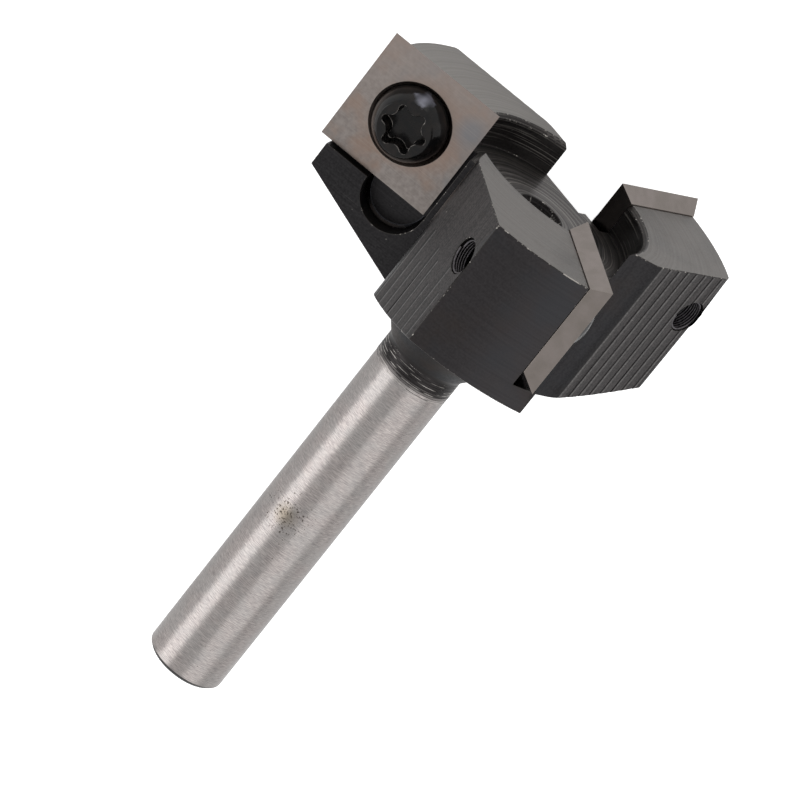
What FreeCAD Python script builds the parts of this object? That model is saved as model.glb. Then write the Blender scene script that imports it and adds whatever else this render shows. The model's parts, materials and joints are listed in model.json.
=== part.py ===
import FreeCAD, Part
import math
import os
import Sketcher
from FreeCAD import Placement, Rotation, Vector

# Surfacing router bit: a three-armed steel head on a plain shank, with a square carbide
# insert and a domed screw on each arm.
#
# Tool frame: Z is the axis, with the plane of the end cutting edges at 0 and the shank
# towards -Z. Arm frame: X runs out along an arm, Y faces the way the arm cuts.
# At the end every piece is laid down as the bit rests on a bench: on the back corner of
# one arm, the front corner of the next arm round and the rim of the shank.

doc = FreeCAD.newDocument("surfacing_router_bit")
sheet = doc.addObject("Spreadsheet::Sheet", "sizes")

# Driving dimensions in millimetres and degrees
DIMENSIONS = (
    ("cutting_dia", 40.3, "circle swept by the outer cutting edges"),
    ("arm_count", 3, "arms, inserts and screws"),
    ("tip_out", 1.05, "outer cutting edges beyond the turned outside of the arms"),
    ("end_relief", 1.15, "ground end of the arms behind the cutting plane"),
    ("arm_height", 13.53, "arm along the axis at its outer end"),
    ("underside_angle", 19.8, "turned underside against the cutting plane"),
    ("arm_ahead", 1.0, "front of an arm ahead of the plane through the axis"),
    ("arm_width", 11.57, "front to back of an arm"),
    ("gullet_floor", 6.75, "flat floor of a gullet from the axis"),
    ("gullet_blend", 3.0, "radius between gullet floor and back of the next arm"),
    ("recess_dia", 18.4, "turned recess in the end"),
    ("recess_depth", 3.45, "recess below the ground end"),
    ("recess_rim", 0.35, "chamfer round the recess"),
    ("centre_dia", 4.8, "mouth of the centre hole"),
    ("centre_angle", 60, "centre hole cone"),
    ("pilot_dia", 2.0, "pilot of the centre hole"),
    ("pilot_depth", 2.5, "pilot below the cone"),
    ("drill_angle", 118, "drill points"),
    ("neck_dia", 12.8, "neck where it leaves the underside"),
    ("neck_length", 3.1, "cone from the underside to the shank"),
    ("neck_blend", 1.0, "radius between neck and shank"),
    ("neck_flare", 4.0, "radius between underside and neck"),
    ("shank_dia", 8.0, "shank"),
    ("shank_length", 39.9, "shank below the neck"),
    ("shank_chamfer", 0.42, "end of the shank"),
    ("insert_side", 12.0, "insert, square at the cutting edges"),
    ("insert_thick", 1.5, "insert"),
    ("insert_relief", 35, "clearance ground on the four sides"),
    ("sink_dia", 7.95, "mouth of the sink in the insert"),
    ("sink_angle", 90, "sink, and cone under the screw head"),
    ("rake_ahead", 0.15, "rake face ahead of the plane through the axis"),
    ("side_gap", 0.35, "inner pocket wall to the insert"),
    ("end_gap", 0.32, "lower pocket wall to the insert, at the rake face"),
    ("wall_lean", 8.5, "lower pocket wall, undercut"),
    ("scallop_dia", 6.4, "round relief under the insert"),
    ("scallop_inset", 2.9, "relief centre out from the inner edge of the insert"),
    ("scallop_bevel", 0.3, "bevel round the foot of the relief"),
    ("screw_dia", 3.4, "M4 thread, drawn plain between its crest and its root"),
    ("screw_gap", 0.05, "thread to its hole, all round"),
    ("screw_length", 8.3, "rake face to the tip of the screw"),
    ("screw_bevel", 0.3, "bevel at the tip"),
    ("dome_dia", 7.25, "widest part of the screw head"),
    ("dome_land", 0.12, "straight edge of the head"),
    ("dome_height", 2.25, "head above the rake face"),
    ("dome_flat", 5.0, "flat top of the head"),
    ("seat_lift", 0.05, "shoulder under the head clear of the arm"),
    ("socket_across", 4.5, "six-lobe socket over opposite lobes"),
    ("lobe_radius", 0.39, "socket lobe"),
    ("flank_radius", 0.89, "socket between two lobes"),
    ("socket_depth", 1.9, "socket below the flat"),
    ("socket_turn", 7, "first lobe from the arm's direction"),
)
for row, (alias, value, note) in enumerate(DIMENSIONS, start=1):
    sheet.set(f"A{row}", alias)
    sheet.set(f"B{row}", str(value))
    sheet.set(f"C{row}", note)
    sheet.setAlias(f"B{row}", alias)
doc.recompute()


def number(formula):
    """Value of a formula of sheet names."""
    value = sheet.evalExpression(formula)
    return getattr(value, "Value", value)


def origin_of(body, role):
    """Origin plane or axis of a body."""
    return next(item for item in body.Origin.OriginFeatures if item.Role == role)


def sketch_on(body, name, plane, lift="0"):
    """Sketch on an origin plane of its body, lifted along the plane's normal."""
    sketch = body.newObject("Sketcher::SketchObject", name)
    sketch.AttachmentSupport = [(origin_of(body, plane), "")]
    sketch.MapMode = "FlatFace"
    sketch.setExpression("AttachmentOffset.Base.z", lift)
    return sketch


def pin_point(sketch, geometry, point, x, y):
    """Hold a point of the sketch at the place that two formulas give."""
    places = ((x, "DistanceX", -2), (y, "DistanceY", -1))
    for formula, kind, axis in places:
        if formula == "0":
            sketch.addConstraint(Sketcher.Constraint("PointOnObject", geometry, point, axis))
        else:
            index = sketch.addConstraint(
                Sketcher.Constraint(kind, -1, 1, geometry, point, number(formula)))
            sketch.setExpression(f"Constraints[{index}]", formula)


def outline(sketch, corners, domed=None):
    """Closed outline with every corner held by formulas and at most one domed side."""
    spots = [Vector(number(x), number(y), 0) for x, y in corners]
    for side, (spot, following) in enumerate(zip(spots, spots[1:] + spots[:1])):
        if side == domed:
            sketch.addGeometry(dome_arc(spot, following), False)
            sketch.addConstraint(Sketcher.Constraint("PointOnObject", side, 3, -2))
        else:
            sketch.addGeometry(Part.LineSegment(spot, following), False)
    for side, (x, y) in enumerate(corners):
        following = (side + 1) % len(corners)
        sketch.addConstraint(Sketcher.Constraint("Coincident", side, 2, following, 1))
        pin_point(sketch, side, 1, x, y)


def dome_arc(foot, top):
    """Arc about a point of the axis, so that it turns into part of a ball."""
    middle_y = (top.x ** 2 + top.y ** 2 - foot.x ** 2 - foot.y ** 2) / (2 * (top.y - foot.y))
    middle = Vector(0, middle_y, 0)
    return arc_between(middle, foot.distanceToPoint(middle), foot - middle, top - middle)


def ring(sketch, x, y, diameter):
    """Circle with its centre and diameter held by formulas."""
    middle = Vector(number(x), number(y), 0)
    index = sketch.addGeometry(Part.Circle(middle, Vector(0, 0, 1), number(diameter) / 2), False)
    pin_point(sketch, index, 3, x, y)
    width = sketch.addConstraint(Sketcher.Constraint("Diameter", index, number(diameter)))
    sketch.setExpression(f"Constraints[{width}]", diameter)


def turned(body, name, kind, sketch):
    """Revolution or groove of a half profile about the sketch's upright axis."""
    feature = body.newObject(f"PartDesign::{kind}", name)
    feature.Profile = sketch
    feature.ReferenceAxis = (sketch, ["V_Axis"])
    feature.Angle = 360
    return feature


def milled(body, name, sketch, depth=None, ahead=False):
    """Pocket of a sketch, behind its plane or ahead of it, or through both ways."""
    feature = body.newObject("PartDesign::Pocket", name)
    feature.Profile = sketch
    if depth is None:
        feature.Type = "ThroughAll"
        feature.Midplane = True
    else:
        feature.Reversed = ahead
        feature.setExpression("Length", depth)
    return feature


def around(body, name, features):
    """Features repeated at each arm."""
    pattern = body.newObject("PartDesign::PolarPattern", name)
    pattern.Originals = features
    pattern.Axis = (origin_of(body, "Z_Axis"), [""])
    pattern.Angle = 360
    pattern.setExpression("Occurrences", "sizes.arm_count")
    body.Tip = pattern
    return pattern


def edges_of_tip(body, chosen):
    """Body's last feature and the names of its edges that a test picks."""
    doc.recompute()
    base = body.Tip
    edges = [f"Edge{i}" for i, edge in enumerate(base.Shape.Edges, start=1) if chosen(edge)]
    if not edges:
        raise RuntimeError(f"{base.Name} has no such edge")
    return base, edges


def rounded(body, name, radius, chosen):
    """Fillet on the edges that a test picks."""
    found = edges_of_tip(body, chosen)
    fillet = body.newObject("PartDesign::Fillet", name)
    fillet.Base = found
    fillet.setExpression("Radius", radius)


def bevelled(body, name, width, chosen):
    """Chamfer on the edges that a test picks."""
    found = edges_of_tip(body, chosen)
    chamfer = body.newObject("PartDesign::Chamfer", name)
    chamfer.Base = found
    chamfer.setExpression("Size", width)


def near(value, target):
    return abs(value - target) < 0.001


# Formulas that several features share
HEAD_R = "(sizes.cutting_dia / 2 - sizes.tip_out)"
SHANK_R = "sizes.shank_dia / 2"
NECK_R = "sizes.neck_dia / 2"
RECESS_R = "sizes.recess_dia / 2"
ARM_END = "-sizes.end_relief"
ARM_FOOT = "-(sizes.end_relief + sizes.arm_height)"
UNDERSIDE = f"{ARM_FOOT} - tan(sizes.underside_angle) * ({HEAD_R} - {NECK_R})"
SHANK_TOP = f"{UNDERSIDE} - sizes.neck_length"
TOOL_END = f"{SHANK_TOP} - sizes.shank_length"
RECESS_FLOOR = "-(sizes.end_relief + sizes.recess_depth)"
INSERT_IN = "sizes.cutting_dia / 2 - sizes.insert_side"
INSERT_MID = "sizes.cutting_dia / 2 - sizes.insert_side / 2"
POCKET_FLOOR = "sizes.rake_ahead - sizes.insert_thick"
ARM_BACK = "sizes.arm_ahead - sizes.arm_width"
PAST_HEAD = "sizes.cutting_dia"
MOUTH_R = "sizes.sink_dia / 2"
SINK_SLOPE = "tan(sizes.sink_angle / 2)"
LOBE_REACH = "sizes.socket_across / 2 - sizes.lobe_radius"
SCREW_SPIN = 23  # degrees by which each screw came to stand further round than the last


def cutter_body():
    """Head, neck and shank, turned from one bar and then milled."""
    body = doc.addObject("PartDesign::Body", "cutter_body")
    turn_blank(body)
    turn_recess(body)
    mill_gullets(body)
    mill_seats(body)
    return body


def turn_blank(body):
    """Turned outside from the ground end down to the bevelled shank."""
    sketch = sketch_on(body, "blank_profile", "XZ_Plane")
    outline(sketch, (
        ("0", ARM_END),
        (HEAD_R, ARM_END),
        (HEAD_R, ARM_FOOT),
        (NECK_R, UNDERSIDE),
        (SHANK_R, SHANK_TOP),
        (SHANK_R, f"{TOOL_END} + sizes.shank_chamfer"),
        (f"{SHANK_R} - sizes.shank_chamfer", TOOL_END),
        ("0", TOOL_END),
    ))
    turned(body, "blank", "Revolution", sketch)

    def ring_at(radius, height):
        def is_it(edge):
            curve = edge.Curve
            return isinstance(curve, Part.Circle) and near(curve.Radius, radius) and near(curve.Center.z, height)
        return is_it

    rounded(body, "neck_root", "sizes.neck_blend", ring_at(number(SHANK_R), number(SHANK_TOP)))
    rounded(body, "neck_top", "sizes.neck_flare", ring_at(number(NECK_R), number(UNDERSIDE)))


def turn_recess(body):
    """Recess in the end, with a bevelled rim, and the centre hole in its floor."""
    sketch = sketch_on(body, "recess_profile", "XZ_Plane")
    outline(sketch, (
        ("0", "0"),
        (f"{RECESS_R} + sizes.recess_rim + sizes.end_relief", "0"),
        (RECESS_R, f"{ARM_END} - sizes.recess_rim"),
        (RECESS_R, RECESS_FLOOR),
        ("0", RECESS_FLOOR),
    ))
    turned(body, "recess", "Groove", sketch)

    mouth_r = "sizes.centre_dia / 2"
    pilot_r = "sizes.pilot_dia / 2"
    cone_foot = f"{RECESS_FLOOR} - ({mouth_r} - {pilot_r}) / tan(sizes.centre_angle / 2)"
    pilot_foot = f"{cone_foot} - sizes.pilot_depth"
    drilled = sketch_on(body, "centre_profile", "XZ_Plane")
    outline(drilled, (
        ("0", RECESS_FLOOR),
        (mouth_r, RECESS_FLOOR),
        (pilot_r, cone_foot),
        (pilot_r, pilot_foot),
        ("0", f"{pilot_foot} - {pilot_r} / tan(sizes.drill_angle / 2)"),
    ))
    turned(body, "centre_hole", "Groove", drilled)


def mill_gullets(body):
    """Gullets between the front of one arm and the back of the next."""
    step = "(360 / sizes.arm_count)"
    back_reach = f"(-({ARM_BACK}))"
    corner_y = f"({back_reach} - sizes.gullet_floor * sin({step})) / (-cos({step}))"
    sketch = sketch_on(body, "gullet_plan", "XY_Plane")
    outline(sketch, (
        ("sizes.gullet_floor", "sizes.arm_ahead"),
        (f"{PAST_HEAD}", "sizes.arm_ahead"),
        (f"{PAST_HEAD}", f"{PAST_HEAD}"),
        (f"sizes.gullet_floor + {PAST_HEAD} * cos({step})", f"{corner_y} + {PAST_HEAD} * sin({step})"),
        ("sizes.gullet_floor", corner_y),
    ))
    gullet = milled(body, "gullet", sketch)
    around(body, "gullets", [gullet])
    corner_r = math.hypot(number("sizes.gullet_floor"), number(corner_y))

    def in_corner(edge):
        start, end = edge.Vertexes[0].Point, edge.Vertexes[-1].Point
        upright = near(start.x, end.x) and near(start.y, end.y)
        return upright and near(math.hypot(start.x, start.y), corner_r)

    rounded(body, "gullet_blends", "sizes.gullet_blend", in_corner)


def mill_seats(body):
    """Pocket, round relief and screw hole for the insert on each arm."""
    wall_foot = f"-sizes.insert_side - sizes.end_gap - sizes.insert_thick * tan(sizes.wall_lean)"
    open_front = f"{POCKET_FLOOR} + sizes.arm_width"
    wall_top = f"{wall_foot} + sizes.arm_width * tan(sizes.wall_lean)"
    profile = sketch_on(body, "pocket_profile", "YZ_Plane", f"{INSERT_IN} - sizes.side_gap")
    outline(profile, (
        (POCKET_FLOOR, wall_foot),
        (open_front, wall_top),
        (open_front, "sizes.insert_thick"),
        (POCKET_FLOOR, "sizes.insert_thick"),
    ))
    pocket = milled(body, "insert_pocket", profile, "sizes.insert_side + sizes.cutting_dia", ahead=True)

    plunge = sketch_on(body, "relief_plan", "XZ_Plane", "-sizes.arm_ahead")
    ring(plunge, f"{INSERT_IN} + sizes.scallop_inset", "-sizes.insert_side - sizes.end_gap", "sizes.scallop_dia")
    relief = milled(body, "relief", plunge, f"sizes.arm_ahead - ({POCKET_FLOOR})", ahead=True)

    bore = sketch_on(body, "screw_hole_plan", "XZ_Plane", f"-({POCKET_FLOOR})")
    ring(bore, INSERT_MID, "-sizes.insert_side / 2", "sizes.screw_dia + 2 * sizes.screw_gap")
    hole = milled(body, "screw_hole", bore, "sizes.arm_width", ahead=True)

    around(body, "insert_seats", [pocket, relief, hole])
    finish_reliefs(body)


def finish_reliefs(body):
    """A bevel round the foot of each relief."""
    relief_r = number("sizes.scallop_dia / 2")
    relief_reach = math.hypot(number(f"{INSERT_IN} + sizes.scallop_inset"), number(POCKET_FLOOR))

    def is_relief_foot(edge):
        curve = edge.Curve
        if not isinstance(curve, Part.Circle) or not near(curve.Radius, relief_r):
            return False
        return near(math.hypot(curve.Center.x, curve.Center.y), relief_reach)

    bevelled(body, "relief_feet", "sizes.scallop_bevel", is_relief_foot)


def insert(arm):
    """Square insert, ground back to a smaller rear face, with a conical sink."""
    body = doc.addObject("PartDesign::Body", f"insert_{arm}")
    half = "sizes.insert_side / 2"
    edges = sketch_on(body, "cutting_edges", "XY_Plane")
    outline(edges, (
        (half, half),
        (f"-{half}", half),
        (f"-{half}", f"-{half}"),
        (half, f"-{half}"),
    ))
    plate = body.newObject("PartDesign::Pad", "plate")
    plate.Profile = edges
    plate.Reversed = True
    plate.setExpression("Length", "sizes.insert_thick")
    plate.setExpression("TaperAngle", "-sizes.insert_relief")

    sink = sketch_on(body, "sink_profile", "XZ_Plane")
    outline(sink, (
        ("0", "0"),
        (MOUTH_R, "0"),
        (f"{MOUTH_R} - sizes.insert_thick * {SINK_SLOPE}", "-sizes.insert_thick"),
        ("0", "-sizes.insert_thick"),
    ))
    turned(body, "sink", "Groove", sink)
    return body


def insert_screw(arm):
    """Screw with a cone under its domed head and a six-lobe socket."""
    body = doc.addObject("PartDesign::Body", f"insert_screw_{arm}")
    edge_r = "sizes.dome_dia / 2"
    edge_depth = f"({MOUTH_R} - {edge_r}) / {SINK_SLOPE}"
    shoulder_depth = "(sizes.insert_thick - sizes.seat_lift)"
    thread_r = "sizes.screw_dia / 2"
    sketch = sketch_on(body, "screw_profile", "XZ_Plane")
    outline(sketch, (
        ("0", "sizes.dome_height"),
        ("0", "-sizes.screw_length"),
        (f"{thread_r} - sizes.screw_bevel", "-sizes.screw_length"),
        (thread_r, "sizes.screw_bevel - sizes.screw_length"),
        (thread_r, f"-{shoulder_depth}"),
        (f"{MOUTH_R} - {shoulder_depth} * {SINK_SLOPE}", f"-{shoulder_depth}"),
        (edge_r, f"-{edge_depth}"),
        (edge_r, f"sizes.dome_land - {edge_depth}"),
        ("sizes.dome_flat / 2", "sizes.dome_height"),
    ), domed=7)
    turned(body, "turned_screw", "Revolution", sketch)

    plan = sketch_on(body, "socket_plan", "XY_Plane", "sizes.dome_height")
    six_lobes(plan)
    socket = body.newObject("PartDesign::Pocket", "socket")
    socket.Profile = plan
    socket.setExpression("Length", "sizes.socket_depth")
    return body


def six_lobes(sketch):
    """Socket outline: six lobe arcs joined by six flank arcs, all tangent."""
    lobe_r = number("sizes.lobe_radius")
    flank_r = number("sizes.flank_radius")
    reach = number(LOBE_REACH)
    turn = number("sizes.socket_turn")
    # Distance of the flank centres, where flank and lobe circles touch
    flank_reach = reach * math.cos(math.radians(30)) + math.sqrt(
        (lobe_r + flank_r) ** 2 - (reach / 2) ** 2)
    for lobe in range(6):
        here = polar(reach, turn + 60 * lobe)
        beyond = polar(flank_reach, turn + 60 * lobe + 30)
        before = polar(flank_reach, turn + 60 * lobe - 30)
        following = polar(reach, turn + 60 * lobe + 60)
        sketch.addGeometry(arc_between(here, lobe_r, before - here, beyond - here), False)
        sketch.addGeometry(arc_between(beyond, flank_r, following - beyond, here - beyond), False)
    for lobe in range(6):
        this_lobe, this_flank = 2 * lobe, 2 * lobe + 1
        next_lobe = (2 * lobe + 2) % 12
        sketch.addConstraint(Sketcher.Constraint("Tangent", this_lobe, 2, this_flank, 2))
        sketch.addConstraint(Sketcher.Constraint("Tangent", this_flank, 1, next_lobe, 1))
        angle = f"(sizes.socket_turn + {60 * lobe})"
        pin_point(sketch, this_lobe, 3, f"({LOBE_REACH}) * cos({angle})", f"({LOBE_REACH}) * sin({angle})")
        for arc, radius in ((this_lobe, "sizes.lobe_radius"), (this_flank, "sizes.flank_radius")):
            index = sketch.addConstraint(Sketcher.Constraint("Radius", arc, number(radius)))
            sketch.setExpression(f"Constraints[{index}]", radius)


def polar(distance, degrees):
    return Vector(distance * math.cos(math.radians(degrees)), distance * math.sin(math.radians(degrees)), 0)


def arc_between(middle, radius, first, last):
    """Arc about a point, counterclockwise from one direction to another."""
    begin = math.atan2(first.y, first.x)
    end = math.atan2(last.y, last.x)
    return Part.ArcOfCircle(Part.Circle(middle, Vector(0, 0, 1), radius), begin, end)


def laid_down():
    """Turn from the tool frame to the bench, with the cutting end towards +X.

    The back corner of the first arm and the front corner of the last one reach equally far
    down, and the axis falls towards the shank until its rim reaches down as far.
    """
    step = 360 / number("sizes.arm_count")
    reach = number(HEAD_R)
    back = math.degrees(math.asin(number(ARM_BACK) / reach))
    front = math.degrees(math.asin(number("sizes.arm_ahead") / reach)) - step
    corner_depth = reach * math.cos(math.radians(back - front) / 2)
    run = number(f"{ARM_FOOT} - ({TOOL_END}) - sizes.shank_chamfer")
    slope = math.degrees(math.atan2(corner_depth - number(SHANK_R), run))
    lowest_ahead = Rotation(Vector(0, 0, 1), -(back + front) / 2)
    tipped = Rotation(Vector(0, 1, 0), 90 - slope)
    return Placement(Vector(), tipped * lowest_ahead)


def seat_of(arm):
    """Placement of an insert's rake face in the tool frame."""
    step = 360 / number("sizes.arm_count")
    turn = Placement(Vector(), Rotation(Vector(0, 0, 1), step * (arm - 1)))
    middle = Vector(number(INSERT_MID), number("sizes.rake_ahead"), number("-sizes.insert_side / 2"))
    facing = Rotation(Vector(1, 0, 0), -90)
    return turn * Placement(middle, facing)


def centred_on_bench(pieces):
    """Shift that brings the middle of the footprint to the origin."""
    box = FreeCAD.BoundBox()
    for piece in pieces:
        box.add(piece.Shape.optimalBoundingBox(False))
    return Placement(Vector(-box.Center.x, -box.Center.y, -box.ZMin), Rotation())


def check(pieces):
    for item in doc.Objects:
        if "Invalid" in item.State or "Error" in item.State:
            raise RuntimeError(f"{item.Name} failed")
        if item.TypeId in ("PartDesign::Pocket", "PartDesign::Groove"):
            if item.Shape.Volume >= item.BaseFeature.Shape.Volume - 0.01:
                raise RuntimeError(f"{item.Name} cuts nothing")
    for piece in pieces:
        if piece.Shape.isNull() or not piece.Shape.isValid() or len(piece.Shape.Solids) != 1:
            raise RuntimeError(f"{piece.Label} is not one sound solid")


# Build every piece in its own frame, then lay the assembled bit down
arms = range(1, int(number("sizes.arm_count")) + 1)
cutter = cutter_body()
inserts = [insert(arm) for arm in arms]
screws = [insert_screw(arm) for arm in arms]
pieces = [cutter, *inserts, *screws]
doc.recompute()

lay = laid_down()
cutter.Placement = lay
for arm, plate, screw in zip(arms, inserts, screws):
    plate.Placement = lay * seat_of(arm)
    tightened = Placement(Vector(), Rotation(Vector(0, 0, 1), SCREW_SPIN * (arm - 1)))
    screw.Placement = lay * seat_of(arm) * tightened
doc.recompute()
shift = centred_on_bench(pieces)
for piece in pieces:
    piece.Placement = shift * piece.Placement
doc.recompute()
check(pieces)

os.makedirs("parts", exist_ok=True)
for piece in pieces:
    piece.Shape.exportStep(f"parts/{piece.Label}.step")
    print(piece.Label, round(piece.Shape.Volume, 1), piece.Shape.optimalBoundingBox(False))
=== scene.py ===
# %% [markdown]
# # A surfacing router bit
# The real bit is a blackened steel head with three arms, each with a square carbide
# insert held by one domed screw, on a shank that was ground bright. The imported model
# already has every form at its real size, so this lesson adds what a lens would see:
# broken edges, marks of the cutter, a thread and the finish of each surface.

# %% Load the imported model
import json
import math

import bmesh
import bpy
from mathutils import Matrix, Vector

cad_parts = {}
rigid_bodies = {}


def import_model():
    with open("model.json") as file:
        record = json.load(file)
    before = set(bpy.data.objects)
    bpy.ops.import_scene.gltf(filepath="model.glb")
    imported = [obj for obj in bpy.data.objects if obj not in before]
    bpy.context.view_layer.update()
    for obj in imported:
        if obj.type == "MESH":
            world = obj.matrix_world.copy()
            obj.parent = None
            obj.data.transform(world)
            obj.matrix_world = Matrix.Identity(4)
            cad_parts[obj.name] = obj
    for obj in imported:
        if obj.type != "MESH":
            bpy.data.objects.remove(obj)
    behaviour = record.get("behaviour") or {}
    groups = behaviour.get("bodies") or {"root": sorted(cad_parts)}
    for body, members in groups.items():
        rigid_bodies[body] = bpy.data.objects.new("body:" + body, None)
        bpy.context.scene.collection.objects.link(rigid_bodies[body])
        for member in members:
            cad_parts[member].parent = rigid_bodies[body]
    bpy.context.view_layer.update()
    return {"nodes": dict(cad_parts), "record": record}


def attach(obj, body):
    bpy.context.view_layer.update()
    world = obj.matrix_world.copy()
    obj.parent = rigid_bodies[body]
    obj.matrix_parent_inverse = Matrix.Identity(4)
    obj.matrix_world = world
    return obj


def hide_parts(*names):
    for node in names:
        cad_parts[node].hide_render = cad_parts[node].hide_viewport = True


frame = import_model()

MM = 0.001

# %% [markdown]
# ## The tool's own frame
# The bit lies tilted on the bench, but a lathe and a mill worked square to its axis.
# Every mark on it is easier to place in the tool's frame: Z along the axis with 0 at the
# end cutting edges, and X along the first arm. The record gives the axis of the shank,
# and the first insert's face gives the turn about it.

# %% Find the tool frame
ARMS = 3
shank_mount = next(m for m in frame["record"]["mounts"] if m["name"] == "shank")
axis = -Vector(shank_mount["axis"]).normalized()


def widest_facing(node):
    """Direction that the largest flat side of a node faces."""
    sides = {}
    for face in frame["nodes"][node].data.polygons:
        key = tuple(round(c, 2) for c in face.normal)
        sides[key] = sides.get(key, Vector((0, 0, 0))) + face.normal * face.area
    return max(sides.values(), key=lambda side: side.length).normalized()


first_arm = widest_facing("insert_1").cross(axis).normalized()
knife_nodes = [frame["nodes"][f"insert_{n + 1}"] for n in range(ARMS)]
cutting_plane = max(axis.dot(v.co) for node in knife_nodes for v in node.data.vertices)
on_axis = Vector(shank_mount["pos_m"])
origin = on_axis + axis * (cutting_plane - axis.dot(on_axis))
tool = Matrix((first_arm, axis.cross(first_arm), axis)).transposed().to_4x4()
tool.translation = origin
to_tool = tool.inverted()
print("tool origin in mm", [round(c / MM, 2) for c in origin])

# %% Sizes that the finish follows
# in millimetres, with heights along the axis from the cutting plane
HEAD_R = 19.1
RECESS_R = 9.2
RECESS_FLOOR = -4.6
CENTRE_R = 2.4
# end of the arms, foot of their turned outside, and their back as it lies across them
ARM_END = -1.15
ARM_FOOT = -14.68
ARM_BACK = -10.57
# floor of an insert's pocket and rake face of the insert, across the arm
POCKET_FLOOR = -1.35
RAKE = 0.15
# round relief under an insert
RELIEF_R = 3.2
RELIEF_OUT = 11.05
RELIEF_DOWN = -12.32
# screw of an insert: its place on the arm, its hole and its thread behind the rake face
SCREW_OUT = 14.15
SCREW_DOWN = -6.0
TAP_R = 1.75
THREAD_LENGTH = 8.1
SHANK_R = 4.0
SHANK_TOP = -22.35
SHANK_FOOT = min((to_tool @ v.co).z for v in frame["nodes"]["cutter_body"].data.vertices) / MM
print("the shank runs from", SHANK_TOP, "to", round(SHANK_FOOT, 2), "mm")

# %% [markdown]
# ## Broken edges
# No machined edge is perfectly sharp. Under a tenth of a millimetre is broken off, the
# black wears through there, and that thin line is what makes steel read as steel. A copy
# of the solid is merged, its flat triangles are joined, and a Bevel gives each sharp edge
# a narrow face with a material of its own.

# %% Copy a node and join its flat triangles
SAME_CORNER = 0.0002
SLIVER = 0.0005
STILL_FLAT = math.radians(0.3)


def merged_copy(node, name, slots):
    """Closed mesh of a node, its coplanar triangles joined, with this many material slots."""
    mesh = frame["nodes"][node].data.copy()
    mesh.name = name
    if "custom_normal" in mesh.attributes:
        mesh.attributes.remove(mesh.attributes["custom_normal"])
    shape = bmesh.new()
    shape.from_mesh(mesh)
    bmesh.ops.remove_doubles(shape, verts=shape.verts, dist=SAME_CORNER * MM)
    bmesh.ops.dissolve_limit(shape, angle_limit=STILL_FLAT, verts=shape.verts, edges=shape.edges)
    bmesh.ops.dissolve_degenerate(shape, edges=shape.edges, dist=SLIVER * MM)
    shape.to_mesh(mesh)
    shape.free()
    mesh.materials.clear()
    for slot in range(slots):
        mesh.materials.append(None)
    piece = bpy.data.objects.new(name, mesh)
    bpy.context.scene.collection.objects.link(piece)
    return piece


# %% Break sharp edges
def settle(piece):
    """Turn the modifiers of a piece into plain mesh."""
    evaluated = piece.evaluated_get(bpy.context.evaluated_depsgraph_get())
    mesh = bpy.data.meshes.new_from_object(evaluated)
    piece.modifiers.clear()
    piece.data = mesh


def break_edges(piece, width, edge_slot, least_angle=30):
    """Give every sharp edge a narrow rounded face, this wide in millimetres."""
    bevel = piece.modifiers.new("broken edges", "BEVEL")
    bevel.width = width * MM
    bevel.segments = 2
    bevel.limit_method = "ANGLE"
    bevel.angle_limit = math.radians(least_angle)
    bevel.material = edge_slot
    bevel.use_clamp_overlap = False
    piece.data.shade_smooth()
    weighted = piece.modifiers.new("flat faces stay flat", "WEIGHTED_NORMAL")
    weighted.weight = 100
    weighted.keep_sharp = True
    bpy.context.view_layer.update()
    settle(piece)


def stands_for(piece, node):
    """Let a dressed piece stand for its CAD node."""
    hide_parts(node)
    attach(piece, "root")


# %% Directions of an arm
ALONG = Vector((1, 0, 0))
ASIDE = Vector((0, 1, 0))
UP = Vector((0, 0, 1))


def arm_across(n):
    """Direction across arm n, the way that its insert faces, in the tool frame."""
    turn = math.radians(360 / ARMS * n)
    return Vector((-math.sin(turn), math.cos(turn), 0))


def arm_out(n):
    """Direction in which arm n reaches out from the axis."""
    return arm_across(n).cross(UP)


print("arms reach out along", [[round(c, 2) for c in arm_out(n)] for n in range(ARMS)])

# %% [markdown]
# ## Which tool made which face
# A turned face has rings round the axis, a milled one has straight passes and the round
# relief has the rings of an end mill. So each face of the body is sorted by where it lies
# and how it faces, and gets a UV map in millimetres that runs along the marks of its tool.

# %% Sort a face by the tool that made it
ZONES = ("turned", "neck", "milled", "stepped", "groove", "crest", "front", "end", "rim", "bored",
         "recess", "drilled", "tapped", "relief", "shank", "shank_end", "chamfer", "edge")
# how near a face lies to the surface that it belongs to, in millimetres
NEAR = 0.1
ABOUT = 0.3
# a face is square to a direction, or leans towards it, from this cosine on
SQUARE = 0.99
LEANING = 0.3


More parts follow.
